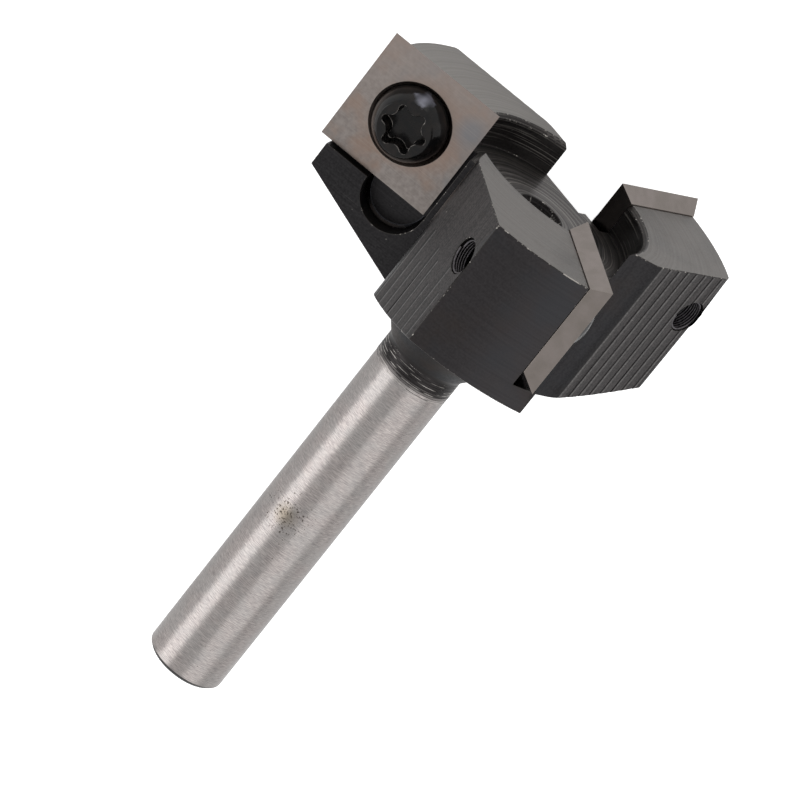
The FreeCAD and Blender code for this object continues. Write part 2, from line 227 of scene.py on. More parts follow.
def zone_of(spots, normal):
    """Kind of finish of a face with these corners, and its arm where that matters."""
    spot = sum(spots, Vector((0, 0, 0))) / len(spots)
    reach = math.hypot(spot.x, spot.y)
    inward = -(spot.x * normal.x + spot.y * normal.y) / max(reach, NEAR)
    if spot.z < SHANK_FOOT + ABOUT and normal.z < -LEANING:
        return "shank_end", 0
    if spot.z < SHANK_TOP + ABOUT and reach < SHANK_R + ABOUT:
        return "shank", 0
    if spot.z < ARM_FOOT - 2 * NEAR:
        return "neck", 0
    if normal.z > SQUARE and abs(spot.z - ARM_END) < NEAR:
        return "end", 0
    if normal.z > SQUARE and abs(spot.z - RECESS_FLOOR) < NEAR:
        return "recess", 0
    if spot.z < RECESS_FLOOR and reach < CENTRE_R + NEAR:
        return "drilled", 0
    if spot.z > RECESS_FLOOR and reach < RECESS_R + ABOUT and inward > LEANING:
        return ("rim" if normal.z > LEANING else "bored"), 0
    outside = abs(reach - HEAD_R) < ABOUT and abs(normal.z) < LEANING
    underside = abs(normal.z) > 0.5
    if outside or underside:
        return "turned", 0
    for n in range(ARMS):
        across, out = arm_across(n), arm_out(n)
        if normal.dot(across) < -SQUARE and abs(spot.dot(across) - ARM_BACK) < NEAR:
            return "stepped", n
        from_screw = max(math.hypot(s.dot(out) - SCREW_OUT, s.z - SCREW_DOWN) for s in spots)
        if from_screw < TAP_R + NEAR and abs(normal.dot(across)) < LEANING:
            return "tapped", n
        from_relief = max(math.hypot(s.dot(out) - RELIEF_OUT, s.z - RELIEF_DOWN) for s in spots)
        if spot.dot(across) > POCKET_FLOOR - NEAR and from_relief < RELIEF_R + NEAR:
            return "relief", n
        if normal.dot(across) > SQUARE:
            return "front", n
    return "milled", 0


# %% Lay the marks of each tool
MARKS = "marks"
# close to the axis, rings are laid as if they had this radius
LEAST_RING = 0.5


def along_marks(zone, n, normal, middle):
    """Function that gives a spot of a face its places along and across the marks."""
    if zone in ("milled", "stepped"):
        sideways = normal.cross(UP)
        return lambda spot: (spot.z, spot.dot(sideways))
    if zone == "front":
        return lambda spot: (spot.dot(arm_out(n)), spot.z)
    # marks of a lathe run round its axis, and those of an end mill round its own
    pivot, first, second = Vector((0, 0, 0)), ALONG, ASIDE
    if zone == "relief":
        pivot, first, second = arm_out(n) * RELIEF_OUT + UP * RELIEF_DOWN, arm_out(n), UP
    spin = first.cross(second)
    # on a flat end the marks lie side by side outwards, and on a round wall along the axis
    flat = abs(normal.dot(spin)) > 0.7
    centre = middle - pivot
    begin = math.atan2(centre.dot(second), centre.dot(first))
    around = max(math.hypot(centre.dot(first), centre.dot(second)), LEAST_RING)

    def place(spot):
        away = spot - pivot
        turn = math.atan2(away.dot(second), away.dot(first)) - begin
        turn = (turn + math.pi) % (2 * math.pi) - math.pi + begin
        reach = math.hypot(away.dot(first), away.dot(second))
        return turn * around, reach if flat else away.dot(spin)

    return place


def lay_marks(piece):
    """Zone of every face as its material, and the UV map of its marks."""
    mesh = piece.data
    layer = mesh.uv_layers.new(name=MARKS)
    for face in mesh.polygons:
        normal = to_tool.to_3x3() @ face.normal
        spots = [to_tool @ mesh.vertices[v].co / MM for v in face.vertices]
        zone, n = zone_of(spots, normal)
        face.material_index = ZONES.index(zone)
        place = along_marks(zone, n, normal, to_tool @ face.center / MM)
        for loop, spot in zip(face.loop_indices, spots):
            layer.data[loop].uv = place(spot)


body = merged_copy("cutter_body", "blackened_body", len(ZONES))
lay_marks(body)
print("faces per zone", {zone: sum(1 for face in body.data.polygons if face.material_index == slot)
                         for slot, zone in enumerate(ZONES)})

# %% [markdown]
# ## Chamfers and steps on the backs of the arms
# The outer corner of two backs was filed off. The back itself was milled in narrow passes,
# and every pass left a step a few hundredths of a millimetre high. The back is cut along
# those lines and the foot of each step is sunk, so that the strips between them slope like
# saw teeth. The foot gets painted shade and the crest beside it a painted highlight, so a
# step is a thin dark line beside a light one.

# %% Chamfer the outer corner of the backs
# width of the chamfer on each arm
CHAMFERS = (0.2, 0.0, 0.4)
# how near two spots are the same, in millimetres
SAME_SPOT = 0.005


def at_back_corner(edge, n):
    """Whether an edge runs between the back of arm n and the turned outside."""
    spots = [to_tool @ v.co / MM for v in edge.verts]
    return all(abs(s.dot(arm_across(n)) - ARM_BACK) < 2 * SAME_SPOT
               and abs(math.hypot(s.x, s.y) - HEAD_R) < 4 * SAME_SPOT
               and s.dot(arm_out(n)) > 0 for s in spots)


def chamfer_backs(piece):
    """File the corner between the back of an arm and the turned outside."""
    shape = bmesh.new()
    shape.from_mesh(piece.data)
    corners = 0
    for n, width in enumerate(CHAMFERS):
        edges = [edge for edge in shape.edges if width > 0 and at_back_corner(edge, n)]
        made = bmesh.ops.bevel(shape, geom=edges, offset=width * MM, offset_type="OFFSET",
                               segments=1, affect="EDGES", clamp_overlap=False)
        for face in made["faces"]:
            face.material_index = ZONES.index("chamfer")
        corners += len(edges)
    shape.to_mesh(piece.data)
    shape.free()
    return corners


print("chamfered corners:", chamfer_backs(body))

# %% Lines of the steps
STEPS = [5.2 + 1.345 * k for k in range(8)]
# on each arm: width of the foot with painted shade, width of the crest with painted highlight, and height
# of the step
FEET = (0.16, 0.3, 0.16)
CRESTS = (0.24, 0.14, 0.24)
STEP_HEIGHTS = (0.04, 0.015, 0.04)
# the steps of the second arm run out about half way up its back, some later than others
RUN_OUT = (0.0, -9.3, 0.0)
UNEVEN = 1.6


def step_tops(n):
    """Height at which each step of arm n runs out."""
    if not RUN_OUT[n]:
        return [0.0] * len(STEPS)
    return [RUN_OUT[n] + UNEVEN * math.sin(2.3 * k) for k in range(len(STEPS))]


print("steps of the second arm end at", [round(top, 1) for top in step_tops(1)])


# %% Cut a back along the step lines
def cut_back(shape, n, direction, distance, low=0.0, high=HEAD_R):
    """Cut the back of arm n, between two distances out, square to a direction."""
    faces = []
    for face in shape.faces:
        out = (to_tool @ face.calc_center_median() / MM).dot(arm_out(n))
        on_back = (to_tool.to_3x3() @ face.normal).dot(arm_across(n)) < -0.9
        if face.material_index == ZONES.index("stepped") and on_back and low < out < high:
            faces.append(face)
    corners = {v for face in faces for v in face.verts}
    edges = {e for face in faces for e in face.edges}
    bmesh.ops.bisect_plane(shape, geom=list(corners | edges) + faces, dist=0.001 * MM,
                           plane_co=tool @ (direction * distance * MM),
                           plane_no=tool.to_3x3() @ direction)


def cut_steps(shape, n):
    """Cut the back of arm n at both sides of every foot and crest, and where they run out."""
    for line in STEPS:
        for part in (0, FEET[n], FEET[n] + CRESTS[n]):
            cut_back(shape, n, arm_out(n), line + part)
    for line, top in zip(STEPS, step_tops(n)):
        cut_back(shape, n, UP, top, line, line + FEET[n] + CRESTS[n])


# %% Step the backs
def sort_steps(shape, n):
    """Give the strips at each step of arm n the painted shade of its foot or the painted highlight of its
    crest.
    """
    for face in [f for f in shape.faces if f.material_index == ZONES.index("stepped")]:
        spot = to_tool @ face.calc_center_median() / MM
        if abs(spot.dot(arm_across(n)) - ARM_BACK) > NEAR:
            continue
        for line, top in zip(STEPS, step_tops(n)):
            part = spot.dot(arm_out(n)) - line
            if 0 < part < FEET[n] + CRESTS[n] and spot.z < top:
                face.material_index = ZONES.index("groove" if part < FEET[n] else "crest")


def sink_feet(shape, n):
    """Sink the foot of each step of arm n into the back."""
    for vertex in shape.verts:
        spot = to_tool @ vertex.co / MM
        for line, top in zip(STEPS, step_tops(n)):
            on_line = abs(spot.dot(arm_out(n)) - line) < SAME_SPOT
            on_back = abs(spot.dot(arm_across(n)) - ARM_BACK) < SAME_SPOT
            if on_line and on_back and spot.z < top - SAME_SPOT:
                vertex.co += tool.to_3x3() @ arm_across(n) * STEP_HEIGHTS[n] * MM


def step_backs(piece):
    """Saw-tooth steps along the axis, cut into the back of each arm."""
    shape = bmesh.new()
    shape.from_mesh(piece.data)
    for n in range(ARMS):
        cut_steps(shape, n)
        sort_steps(shape, n)
        sink_feet(shape, n)
        shape.normal_update()
    strips = {ZONES.index("groove"), ZONES.index("crest")}
    sharp = [e for e in shape.edges if any(f.material_index in strips for f in e.link_faces)]
    for edge in sharp:
        edge.smooth = False
    shape.to_mesh(piece.data)
    shape.free()
    return len(sharp)


print("sharp edges of the steps:", step_backs(body))

# %% [markdown]
# ## Edges of the body, the inserts and the screws
# The body was deburred by hand, so its edges are broken by 0.07 mm. An insert is honed and
# nearly sharp, with 0.02 mm, and the formed head of a screw has soft edges of 0.08 mm.

# %% Break the edges of the body
def keep_in_blank(piece):
    """Put corners that the bevel pushed out, at thin walls, back onto the turned outside."""
    moved = 0
    for vertex in piece.data.vertices:
        spot = to_tool @ vertex.co
        reach = math.hypot(spot.x, spot.y)
        if reach > HEAD_R * MM:
            inside = HEAD_R * MM / reach
            vertex.co = tool @ Vector((spot.x * inside, spot.y * inside, spot.z))
            moved += 1
    return moved


def blacken_relief_feet(piece):
    """Keep the black on the foot of each relief: it is hollow, so nothing rubs it."""
    kept = 0
    for face in piece.data.polygons:
        spot = to_tool @ face.center / MM
        from_relief = min(math.hypot(spot.dot(arm_out(n)) - RELIEF_OUT, spot.z - RELIEF_DOWN)
                          if spot.dot(arm_across(n)) > ARM_BACK / 2 else HEAD_R for n in range(ARMS))
        if face.material_index == ZONES.index("edge") and from_relief < RELIEF_R - NEAR:
            face.material_index = ZONES.index("relief")
            kept += 1
    return kept


BODY_EDGE = 0.07
break_edges(body, BODY_EDGE, ZONES.index("edge"))
print("corners put back:", keep_in_blank(body), "and faces kept black:", blacken_relief_feet(body))
stands_for(body, "cutter_body")
print("body faces", len(body.data.polygons))


# %% Break the edges of the inserts
def middle_of(node, n):
    """Middle of a node's box that is turned with arm n, and the directions of that box."""
    across = tool.to_3x3() @ arm_across(n)
    sides = (across.cross(axis), across, axis)
    middle = Vector((0, 0, 0))
    for side in sides:
        reach = [side.dot(v.co) for v in frame["nodes"][node].data.vertices]
        middle += side * (min(reach) + max(reach)) / 2
    return middle, sides


def lay_face_map(piece, middle, right, up):
    """UV map in millimetres from the middle of a piece, flat along two directions."""
    layer = piece.data.uv_layers.new(name=MARKS)
    for loop in piece.data.loops:
        spot = (piece.data.vertices[loop.vertex_index].co - middle) / MM
        layer.data[loop.index].uv = (spot.dot(right), spot.dot(up))


KNIFE_SLOTS = ("face", "edge", "side", "side to the recess")
# the four clearance sides lie further than this from the middle, and the sink nearer
BEYOND_SINK = 5.0
KNIFE_EDGE = 0.02
inserts = []
for n in range(ARMS):
    middle, (out, across, up) = middle_of(f"insert_{n + 1}", n)
    knife = merged_copy(f"insert_{n + 1}", f"carbide_insert_{n + 1}", len(KNIFE_SLOTS))
    lay_face_map(knife, middle, out, up)
    for face in knife.data.polygons:
        if abs(face.normal.dot(across)) < 0.9 and (face.center - middle).length > BEYOND_SINK * MM:
            inner = face.normal.dot(out) < -0.5
            face.material_index = KNIFE_SLOTS.index("side to the recess" if inner else "side")
    break_edges(knife, KNIFE_EDGE, KNIFE_SLOTS.index("edge"))
    stands_for(knife, f"insert_{n + 1}")
    inserts.append(knife)
print("faces per insert", [len(knife.data.polygons) for knife in inserts])

# %% Break the edges of the screws
SCREW_SLOTS = ("face", "edge")
SCREW_EDGE = 0.08
screws = []
for n in range(ARMS):
    screw = merged_copy(f"insert_screw_{n + 1}", f"domed_screw_{n + 1}", len(SCREW_SLOTS))
    # the facets of the dome meet at less than this angle, and stay one smooth face
    break_edges(screw, SCREW_EDGE, SCREW_SLOTS.index("edge"), least_angle=50)
    stands_for(screw, f"insert_screw_{n + 1}")
    screws.append(screw)
print("faces per screw", [len(screw.data.polygons) for screw in screws])

# %% [markdown]
# ## Patterns for the materials
# Bare steel, blackened steel and carbide are all metals to the eye: they have no colour of
# their own apart from what they mirror, so the light and the fine marks of the tool do most
# of the work. Each pattern is written with its real size in millimetres. Lines of a tool
# follow the UV map, and patches of rust, dust or wear lie all through the piece.

# %% Colours and nodes
def colour(code):
    """Linear colour of an sRGB hex code."""
    parts = [int(code[i:i + 2], 16) / 255 for i in (1, 3, 5)]
    return tuple(p / 12.92 if p <= 0.04045 else ((p + 0.055) / 1.055) ** 2.4 for p in parts) + (1,)


def add(tree, kind, inputs=(), **settings):
    """One node with its settings, and each input a value or another node's output."""
    whole_name = kind.startswith(("GeometryNode", "NodeGroup"))
    node = tree.nodes.new(kind if whole_name else "ShaderNode" + kind)
    for key, value in settings.items():
        setattr(node, key, value)
    for socket, value in dict(inputs).items():
        if isinstance(value, bpy.types.NodeSocket):
            tree.links.new(value, node.inputs[socket])
        else:
            node.inputs[socket].default_value = value
    return node


def new_material(name):
    material = bpy.data.materials.new(name)
    material.use_nodes = True
    material.node_tree.nodes.clear()
    return material, material.node_tree


print("linear grey of #808080:", round(colour("#808080")[0], 3))


# %% Patches, heights and distances
def clouds(tree, size, shift=0.0, detail=3.0):
    """Soft patches of this size in millimetres, all through the piece."""
    place = add(tree, "TexCoord")
    moved = add(tree, "Mapping", {"Vector": place.outputs["Object"], "Location": (shift, shift, shift),
                                  "Scale": (1 / MM / size,) * 3})
    patches = add(tree, "TexNoise", {"Vector": moved.outputs[0], "Scale": 1.0, "Detail": detail,
                                     "Roughness": 0.55})
    return patches.outputs[0]


def tool_height(tree):
    """Height along the tool's axis, in millimetres."""
    place = add(tree, "TexCoord")
    along = add(tree, "VectorMath", {0: place.outputs["Object"], 1: axis / MM}, operation="DOT_PRODUCT")
    return add(tree, "Math", {0: along.outputs["Value"], 1: axis.dot(origin) / MM},
               operation="SUBTRACT").outputs[0]


def distance_from(tree, spot):
    """Distance from a spot of the tool frame, in millimetres."""
    place = add(tree, "TexCoord")
    gap = add(tree, "VectorMath", {0: place.outputs["Object"], 1: tool @ (spot * MM)},
              operation="DISTANCE")
    return add(tree, "Math", {0: gap.outputs["Value"], 1: 1 / MM}, operation="MULTIPLY").outputs[0]


# %% Lines of a tool
def streaks(tree, length, width, shift=0.0):
    """Fine lines left by a tool, this long and wide in millimetres."""
    marks = add(tree, "UVMap", uv_map=MARKS)
    place = add(tree, "Mapping", {"Vector": marks.outputs[0], "Location": (shift, shift, 0),
                                  "Scale": (1 / length, 1 / width, 1)})
    lines = add(tree, "TexNoise", {"Vector": place.outputs[0], "Scale": 1.0, "Detail": 3.0,
                                   "Roughness": 0.6})
    return lines.outputs[0]


def ring_lines(tree, width):
    """Lines of a lathe on a flat end: rings about the tool's axis, this wide in millimetres."""
    place = add(tree, "TexCoord")
    away = add(tree, "VectorMath", {0: place.outputs["Object"], 1: origin}, operation="SUBTRACT")
    reach = add(tree, "VectorMath", {0: away.outputs[0], 1: axis / MM / width},
                operation="CROSS_PRODUCT")
    reach = add(tree, "VectorMath", {0: reach.outputs[0]}, operation="LENGTH")
    # a ring fades and returns along its way
    wander = add(tree, "Math", {0: clouds(tree, 3.0, 2.0, 1.0), 1: 1.2, 2: reach.outputs["Value"]},
                 operation="MULTIPLY_ADD")
    lines = add(tree, "TexNoise", {"W": wander.outputs[0], "Scale": 1.0, "Detail": 3.0,
                                   "Roughness": 0.6}, noise_dimensions="1D")
    return lines.outputs[0]


# %% Mix tints and finish a metal
def laid_over(tree, under, over, pattern, low, high, first=0.0, last=1.0):
    """One colour over another: a pattern from low to high gives its share, from first to last."""
    share = add(tree, "MapRange", {0: pattern, 1: low, 2: high, 3: first, 4: last})
    tints = [colour(c) if isinstance(c, str) else c for c in (under, over)]
    return add(tree, "Mix", {0: share.outputs[0], 6: tints[0], 7: tints[1]}, data_type="RGBA").outputs[2]


def metal(material, tree, tint, roughness, height, depth):
    """Finish a metal: tint and roughness from patterns, bump of a real depth in millimetres."""
    bump = add(tree, "Bump", {"Height": height, "Distance": depth * MM, "Strength": 1.0})
    shader = add(tree, "BsdfPrincipled", {"Base Color": tint, "Metallic": 1.0, "Roughness": roughness,
                                          "Normal": bump.outputs[0]})
    add(tree, "OutputMaterial", {"Surface": shader.outputs[0]})
    return material


# %% [markdown]
# ## Black oxide
# The head was blackened in a bath of hot salts. The coat is a micron thick, so the marks of
# each tool stay in it, and the eye gets a dark satin metal with a fine grain: smooth on
# turned faces, streaky on milled ones, brownish where the bath left rust and faintly blue
# where the coat is thick. One function makes the coat, and each surface gives it the tints
# at the two ends of its pattern, the width and depth of its lines, and its wear.

# %% Coat of black oxide
RUST_BROWN = "#37302c"
COAT_BLUE = "#2f3337"
BARE_STEEL = "#8a8782"


def scored_and_glinting(tree, tint, rings, length, width, rare, common, bright="#8d8984"):
    """Tint crossed by thin brighter lines: scores where a tool or a chip rubbed through the coat, and
    painted glints in the centre hole.
    """
    lines = ring_lines(tree, width) if rings else streaks(tree, length, width)
    return laid_over(tree, tint, bright, lines, rare, common)


def black_oxide(name, dark, light, roughness, line, depth, grit, clouded=0.0, specks=0.0,
                rings=False, scores_and_glints=None, thin=None):
    """Blackened steel between a dark and a light tint, with lines this wide and deep."""
    material, tree = new_material(name)
    lines = ring_lines(tree, line) if rings else streaks(tree, 9.0, line)
    grain = clouds(tree, 0.2, 3.0, 1.0)
    # grit is how much of the pattern is the grain of the bath and not the lines of the tool
    pattern = add(tree, "Mix", {0: grit, 2: lines, 3: grain}).outputs[0]
    tint = laid_over(tree, dark, light, pattern, 0.38, 0.62)
    # brown where the bath left rust in the coat, and faintly blue where the coat is thick
    tint = laid_over(tree, tint, RUST_BROWN, clouds(tree, 5.0, 1.0), 0.52, 0.68, 0.0, clouded)
    tint = laid_over(tree, tint, COAT_BLUE, clouds(tree, 6.0, 5.0), 0.5, 0.66, 0.0, clouded)
    if scores_and_glints:
        tint = scored_and_glinting(tree, tint, rings, **scores_and_glints)
    if thin:
        # the coat is thinner round this spot, out to this many millimetres
        there = laid_over(tree, thin["dark"], thin["light"], pattern, 0.38, 0.62)
        away = distance_from(tree, thin["spot"])
        tint = laid_over(tree, tint, there, away, thin["out"] / 2, thin["out"], 1.0, 0.0)
    # bare steel in a few pin pricks, drawn at 0.15 mm so that they show
    tint = laid_over(tree, tint, BARE_STEEL, clouds(tree, 0.35, 7.0, 0.0), 0.865, 0.89, 0.0, specks)
    rough = add(tree, "MapRange", {0: grain, 1: 0.3, 2: 0.7, 3: roughness - 0.06, 4: roughness + 0.08})
    return metal(material, tree, tint, rough.outputs[0], pattern, depth)


looks = {}

# %% Coat on turned faces
looks["turned"] = black_oxide(
    "turned_black_oxide", dark="#302e2f", light="#373536", roughness=0.36,
    line=0.25, depth=0.0004, grit=0.5, clouded=0.3)
# oil and dust stay in the hollow of the neck, which makes it duller
looks["neck"] = black_oxide(
    "dull_neck_black_oxide", dark="#353130", light="#423d3b", roughness=0.5,
    line=0.25, depth=0.002, grit=0.5, clouded=0.6)
# the end was faced last, so its coat is thinner and greyer, most of all on the first arm
looks["end"] = black_oxide(
    "faced_end_black_oxide", dark="#5b5753", light="#6a6663", roughness=0.34,
    line=0.3, depth=0.002, grit=0.5, clouded=0.2, rings=True,
    thin={"spot": Vector((14, -5, ARM_END)), "out": 14.0, "dark": "#6e6a66", "light": "#7f7b77"})
# the chamfer of the recess has bright and dark rings close together
looks["rim"] = black_oxide(
    "turned_rim_black_oxide", dark="#252323", light="#524f4d", roughness=0.36,
    line=0.15, depth=0.004, grit=0.1)
print("turned faces:", list(looks))

# %% Coat in the recess and the holes
# feed lines of 0.1 mm in the recess, drawn at 0.2 to 0.4 mm so that they show
looks["bored"] = black_oxide(
    "bored_black_oxide", dark="#353333", light="#464443", roughness=0.36,
    line=0.2, depth=0.006, grit=0.3, specks=0.3,
    scores_and_glints={"length": 12.0, "width": 0.2, "rare": 0.55, "common": 0.62, "bright": "#8d8a86"})
looks["recess"] = black_oxide(
    "faced_recess_black_oxide", dark="#322f2e", light="#6a6664", roughness=0.36,
    line=0.4, depth=0.014, grit=0.2, clouded=0.2, specks=0.5, rings=True,
    scores_and_glints={"length": None, "width": 0.3, "rare": 0.62, "common": 0.7})
# painted shade and painted reflections: the wall of the centre hole is tinted dark, with short bright
# marks painted on it
looks["drilled"] = black_oxide(
    "drilled_painted_shade_and_glints", dark="#151414", light="#2a2828", roughness=0.3,
    line=0.25, depth=0.01, grit=0.3,
    scores_and_glints={"length": 0.8, "width": 1.2, "rare": 0.56, "common": 0.64})
looks["tapped"] = black_oxide(
    "tapped_black_oxide", dark="#1a1919", light="#2c2a2a", roughness=0.5,
    line=0.3, depth=0.004, grit=0.8)
print("with recess and holes:", len(looks))

# %% Coat on milled faces
looks["milled"] = black_oxide(
    "milled_black_oxide", dark="#272627", light="#313031", roughness=0.36,
    line=0.5, depth=0.001, grit=0.7, clouded=0.2, specks=0.3)
# the front of an arm carries thin scores of the chips that ran over it
looks["front"] = black_oxide(
    "front_milled_black_oxide", dark="#262526", light="#323132", roughness=0.34,
    line=0.2, depth=0.003, grit=0.5, specks=0.3,
    scores_and_glints={"length": 6.0, "width": 0.12, "rare": 0.68, "common": 0.74, "bright": "#555352"})
# an end mill leaves the relief smooth, so it is the blackest and glossiest part
looks["relief"] = black_oxide(
    "end_milled_black_oxide", dark="#1d1d1f", light="#2a2a2d", roughness=0.26,
    line=0.25, depth=0.002, grit=0.2)
# the backs have the strongest grain, with painted shade on the foot of each step and a painted highlight
# on its crest
looks["stepped"] = black_oxide(
    "step_milled_black_oxide", dark="#1a1818", light="#484444", roughness=0.42,
    line=0.16, depth=0.004, grit=0.6, specks=0.5)
# painted shade: the foot of each step is tinted dark
looks["groove"] = black_oxide(
    "painted_shade_step_foot", dark="#1f1e1e", light="#2c2a2a", roughness=0.45,
    line=0.3, depth=0.004, grit=0.5)
# painted highlight: the crest beside each foot is tinted light
looks["crest"] = black_oxide(
    "painted_highlight_step_crest", dark="#4a4848", light="#676564", roughness=0.4,
    line=0.3, depth=0.004, grit=0.9)
print("with milled faces:", len(looks))

# %% Coat on sawn and filed faces
looks["shank_end"] = black_oxide(
    "sawn_black_oxide", dark="#1a1919", light="#262424", roughness=0.45,
    line=0.3, depth=0.004, grit=0.6, clouded=0.3, specks=0.5)
# the file took part of the coat with it, so the chamfers are greyer
looks["chamfer"] = black_oxide(
    "filed_black_oxide", dark="#454344", light="#69666a", roughness=0.4,
    line=0.3, depth=0.004, grit=0.6, clouded=0.3, specks=0.5)
print("all coats of black oxide:", len(looks))

# %% [markdown]
# ## Rubbed edges
# The coat is thinnest on an edge and is the first to go there. Most of an edge stays dark,
# with short bright nicks, and the corners that hands and wood touch have more of them.

# %% Edges where the black has rubbed off
STRUCK = Vector((-6.7, 17.8, -1.2))
# where the pattern of wear begins to show steel, and where it is all steel
FIRST_NICKS, ALL_STEEL = 0.605, 0.70
material, tree = new_material("rubbed_steel_edge")
# the corners at the cutting end are handled most, and one corner was struck
handled = add(tree, "MapRange", {0: tool_height(tree), 1: -1.7, 2: -1.2, 3: 0.0, 4: 0.03})
struck = add(tree, "MapRange", {0: distance_from(tree, STRUCK), 1: 0.6, 2: 1.3, 3: 0.25, 4: 0.0})
wear = add(tree, "Math", {0: clouds(tree, 0.3, 2.0), 1: handled.outputs[0]}, operation="ADD")
wear = add(tree, "Math", {0: wear.outputs[0], 1: struck.outputs[0]}, operation="ADD").outputs[0]
tint = laid_over(tree, "#373534", "#a9a49e", wear, FIRST_NICKS, ALL_STEEL)
rough = add(tree, "MapRange", {0: wear, 1: FIRST_NICKS, 2: ALL_STEEL, 3: 0.35, 4: 0.25}).outputs[0]
looks["edge"] = metal(material, tree, tint, rough, clouds(tree, 0.3), 0.004)
print("nodes in the edge material:", len(tree.nodes))

# %% [markdown]
# ## Ground shank
# The coat was turned off the shank and the shank was ground, because a collet needs it
# bright and true. The wheel leaves short scratches round the axis, so the eye gets bright
# bands along the shank, where it mirrors the lamps, broken up across them. The coat runs
# out in rings under the head, and there is one stain with rust pits.

# %% Bright steel of the shank
# heights at which the coat begins to fade and at which it has gone
FADE_BEGINS = -23.1
FADE_ENDS = -23.8
STAIN = Vector((0.9, 3.9, -42.1))
material, tree = new_material("ground_shank_steel")
# scratches of the wheel are a hundredth wide, drawn at 0.08 mm so that they show
fine, coarse = streaks(tree, 0.7, 0.075), streaks(tree, 5.0, 0.25, 5.0)
lines = add(tree, "Mix", {0: 0.2, 2: fine, 3: coarse}).outputs[0]
tint = laid_over(tree, "#767070", "#b0a9a5", lines, 0.32, 0.68)
# some scratches are deeper, and dark
tint = laid_over(tree, tint, "#4f4845", streaks(tree, 1.1, 0.09, 7.0), 0.62, 0.74, 0.0, 0.7)
# grey and faintly pink by turns, as the wheel left it
tint = laid_over(tree, tint, "#8f9190", clouds(tree, 2.5, 8.0), 0.4, 0.6, 0.0, 0.25)
# the black coat runs out unevenly, in rings
ragged = add(tree, "Math", {0: streaks(tree, 20.0, 0.22, 2.0), 1: 1.6, 2: tool_height(tree)},
             operation="MULTIPLY_ADD").outputs[0]
tint = laid_over(tree, tint, "#2f2d2d", ragged, FADE_ENDS, FADE_BEGINS)
rough = add(tree, "MapRange", {0: ragged, 1: FADE_ENDS, 2: FADE_BEGINS, 3: 0.27, 4: 0.36}).outputs[0]
# a yellowish stain with rust pits across it, drawn at 0.15 mm so that they show
tint = laid_over(tree, tint, "#6b5d40", distance_from(tree, STAIN), 0.3, 1.5, 0.5, 0.0)
fewer = add(tree, "MapRange", {0: distance_from(tree, STAIN), 1: 0.8, 2: 3.9, 3: 0.0, 4: 0.2})
pits = add(tree, "Math", {0: clouds(tree, 0.2, 4.0, 1.0), 1: fewer.outputs[0]}, operation="SUBTRACT")
tint = laid_over(tree, tint, "#3f3730", pits.outputs[0], 0.57, 0.63)
looks["shank"] = metal(material, tree, tint, rough, lines, 0.002)
print("nodes in the shank material:", len(tree.nodes))

# %% Dress the body
for slot, zone in enumerate(ZONES):
    body.data.materials[slot] = looks[zone]
print("finishes on the body:", len(body.data.materials))

# %% [markdown]
# ## Ground carbide
# The inserts are tungsten carbide, pressed, sintered and ground. Carbide is a darker and
# browner metal than steel. The wheel leaves straight scratches, and its heat leaves brown
# and bluish clouds, strongest round the hole. The narrow sides are ground finer, so they
# mirror more, and the side that faces the recess is duller and has painted shade, a dark tint.

# %% Face of an insert
# spots on the face, measured from its middle
HOTTEST = Vector((-0.8, 0.5, 0))
BLUE_PATCH = Vector((-4.9, 3.1, 0))
material, tree = new_material("ground_carbide")
tint = laid_over(tree, "#7a736f", "#89827e", clouds(tree, 0.45, 3.0, 6.0), 0.35, 0.65)
# heat of grinding left brown and bluish clouds
tint = laid_over(tree, tint, "#877265", clouds(tree, 3.5, 2.0), 0.48, 0.64, 0.0, 0.65)
tint = laid_over(tree, tint, "#73777a", clouds(tree, 4.5, 6.0), 0.52, 0.66, 0.0, 0.6)
# a brown ring round the hole, and one blue patch
face_map = add(tree, "UVMap", uv_map=MARKS).outputs[0]
from_hot = add(tree, "VectorMath", {0: face_map, 1: HOTTEST}, operation="DISTANCE").outputs["Value"]
tint = laid_over(tree, tint, "#8a7060", from_hot, 3.7, 5.0, 0.55, 0.0)
from_blue = add(tree, "VectorMath", {0: face_map, 1: BLUE_PATCH}, operation="DISTANCE").outputs["Value"]
tint = laid_over(tree, tint, "#676f77", from_blue, 0.6, 1.9, 0.85, 0.0)
# the end that cuts is rubbed lighter
height = add(tree, "SeparateXYZ", {0: face_map}).outputs["Y"]
tint = laid_over(tree, tint, "#938984", height, -4.0, 6.0, 0.0, 0.5)
# grinding scratches of a hundredth, drawn at 0.1 mm so that they show
grinding = streaks(tree, 6.0, 0.1)
tint = laid_over(tree, tint, "#9b948e", grinding, 0.5, 0.7, 0.0, 0.3)
carbide = metal(material, tree, tint, 0.34, grinding, 0.001)
print("nodes in the carbide face:", len(tree.nodes))

# %% Edges and sides of an insert
# a honed edge is a thin line, a little brighter than the face
material, tree = new_material("honed_carbide_edge")
tint = laid_over(tree, "#7d7671", "#918a84", clouds(tree, 0.8), 0.0, 1.0)
carbide_edge = metal(material, tree, tint, 0.25, clouds(tree, 0.3), 0.001)

# a finer wheel leaves the sides nearly smooth, so they mirror the room
material, tree = new_material("ground_carbide_side")
tint = laid_over(tree, "#7a736e", "#837b77", clouds(tree, 1.5, 3.0), 0.35, 0.65)
carbide_side = metal(material, tree, tint, 0.16, streaks(tree, 4.0, 0.12, 3.0), 0.0005)

# painted shade: the side that faces the recess is tinted dark, where it lies in shade and mirrors the
# dark recess
material, tree = new_material("carbide_side_painted_shade")
tint = laid_over(tree, "#383534", "#474341", clouds(tree, 1.5, 3.0), 0.35, 0.65)
side_in_painted_shade = metal(material, tree, tint, 0.25, clouds(tree, 0.3), 0.0005)

for knife in inserts:
    for slot, look in enumerate((carbide, carbide_edge, carbide_side, side_in_painted_shade)):
        knife.data.materials[slot] = look
print("finishes on an insert:", [look.name for look in inserts[0].data.materials])
